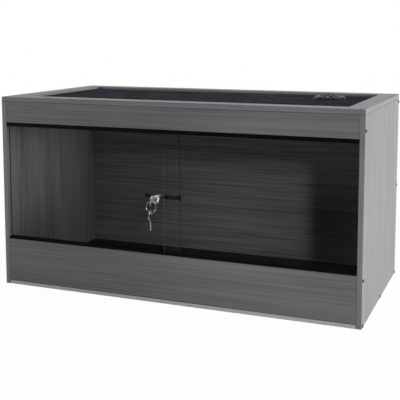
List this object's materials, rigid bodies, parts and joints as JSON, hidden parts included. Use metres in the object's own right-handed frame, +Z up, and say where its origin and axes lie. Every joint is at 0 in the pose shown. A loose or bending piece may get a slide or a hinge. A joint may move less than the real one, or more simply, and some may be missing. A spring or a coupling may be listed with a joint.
{
  "type": "reptile terrarium",
  "caption": "Wide front-opening terrarium of wood-grain boards with a screened top, a round port, sliding glass doors in double tracks and a barrel lock with its keys.",
  "frame": {"origin": "centre of the cabinet's underside, at half its width and half the depth of its boards", "axes": "+X to the right as seen from the front, +Y to the back, +Z up"},
  "size_m": [0.9176, 0.5153, 0.4833],
  "materials": {
    "laminated_board": "grey wood-grain melamine laminate, satin",
    "beech": "plain fluted dowel",
    "floor_plastic": "black sheet, matt",
    "black_mesh": "black coated woven mesh",
    "black_plastic": "black extrusion, satin",
    "black_steel": "black phosphate",
    "glass": "clear float glass with ground edges",
    "black_nickel": "black nickel plate",
    "rubber": "moulded, matt",
    "chrome": "bright chrome plate",
    "steel": "turned steel",
    "nickel": "nickel plate",
    "port_plastic": "moulded black, satin"
  },
  "bodies": {
    "cabinet": {"bottom_panel": "laminated_board", "floor_liner": "floor_plastic", "left_side_panel": "laminated_board", "right_side_panel": "laminated_board", "back_panel": "laminated_board", "upper_front_fascia": "laminated_board", "lower_front_fascia": "laminated_board", "top_front_rail": "laminated_board", "top_back_rail": "laminated_board", "top_left_rail": "laminated_board", "top_right_rail": "laminated_board", "frame_dowels": "beech", "mesh_screen": "black_mesh", "front_mesh_batten": "black_plastic", "back_mesh_batten": "black_plastic", "left_mesh_batten": "black_plastic", "right_mesh_batten": "black_plastic", "batten_screws": "black_steel", "left_panel_screws": "black_steel", "right_panel_screws": "black_steel", "upper_glass_track": "black_plastic", "lower_glass_track": "black_plastic", "port_base": "port_plastic", "port_clamp_ring": "port_plastic"},
    "inner_door": {"inner_glass_door": "glass", "ratchet_bar": "black_nickel", "ratchet_bar_sleeve": "rubber"},
    "outer_door": {"outer_glass_door": "glass"},
    "lock_barrel": {"lock_barrel": "chrome"},
    "lock_plug": {"lock_plug": "steel"},
    "lock_pawl": {"lock_pawl": "steel"},
    "lock_key": {"lock_key": "nickel"},
    "key_ring": {"key_ring": "nickel"},
    "spare_key": {"spare_key": "nickel"},
    "port_turning_ring": {"port_turning_ring": "port_plastic"},
    "port_cap": {"port_cap": "port_plastic"}
  },
  "joints": [
    {"name": "inner_door_slide", "type": "slide", "parent": "cabinet", "child": "inner_door", "axis": [1, 0, 0], "range_m": [0, 0.41]},
    {"name": "outer_door_slide", "type": "slide", "parent": "cabinet", "child": "outer_door", "axis": [-1, 0, 0], "range_m": [0, 0.355]},
    {"name": "lock_slide", "type": "slide", "parent": "outer_door", "child": "lock_barrel", "axis": [-1, 0, 0], "range_m": [0, 0.057]},
    {"name": "plug_turn", "type": "hinge", "parent": "lock_barrel", "child": "lock_plug", "pos_m": [-0.0223, -0.24, 0.255], "axis": [0, 1, 0], "range_deg": [0, 90]},
    {"name": "pawl_lift", "type": "slide", "parent": "lock_barrel", "child": "lock_pawl", "axis": [0, 0, 1], "range_m": [0, 0.0016]},
    {"name": "key_slide", "type": "slide", "parent": "lock_plug", "child": "lock_key", "axis": [0, -1, 0], "range_m": [0, 0.03]},
    {"name": "key_ring_swing", "type": "hinge", "parent": "lock_key", "child": "key_ring", "pos_m": [-0.0223, -0.2743, 0.255], "axis": [1, 0, 0], "range_deg": [-30, 20]},
    {"name": "spare_key_swing", "type": "hinge", "parent": "key_ring", "child": "spare_key", "pos_m": [-0.0223, -0.2743, 0.228], "axis": [1, 0, 0], "range_deg": [-30, 20]},
    {"name": "port_ring_turn", "type": "hinge", "parent": "cabinet", "child": "port_turning_ring", "pos_m": [0.305, 0.0885, 0.478], "axis": [0, 0, 1], "continuous": true},
    {"name": "port_cap_lift", "type": "slide", "parent": "port_turning_ring", "child": "port_cap", "axis": [0, 0, 1], "range_m": [0, 0.05]}
  ],
  "couplings": [
    {"joint": "pawl_lift", "follows": "plug_turn", "m_per_rad": 0.00101}
  ]
}
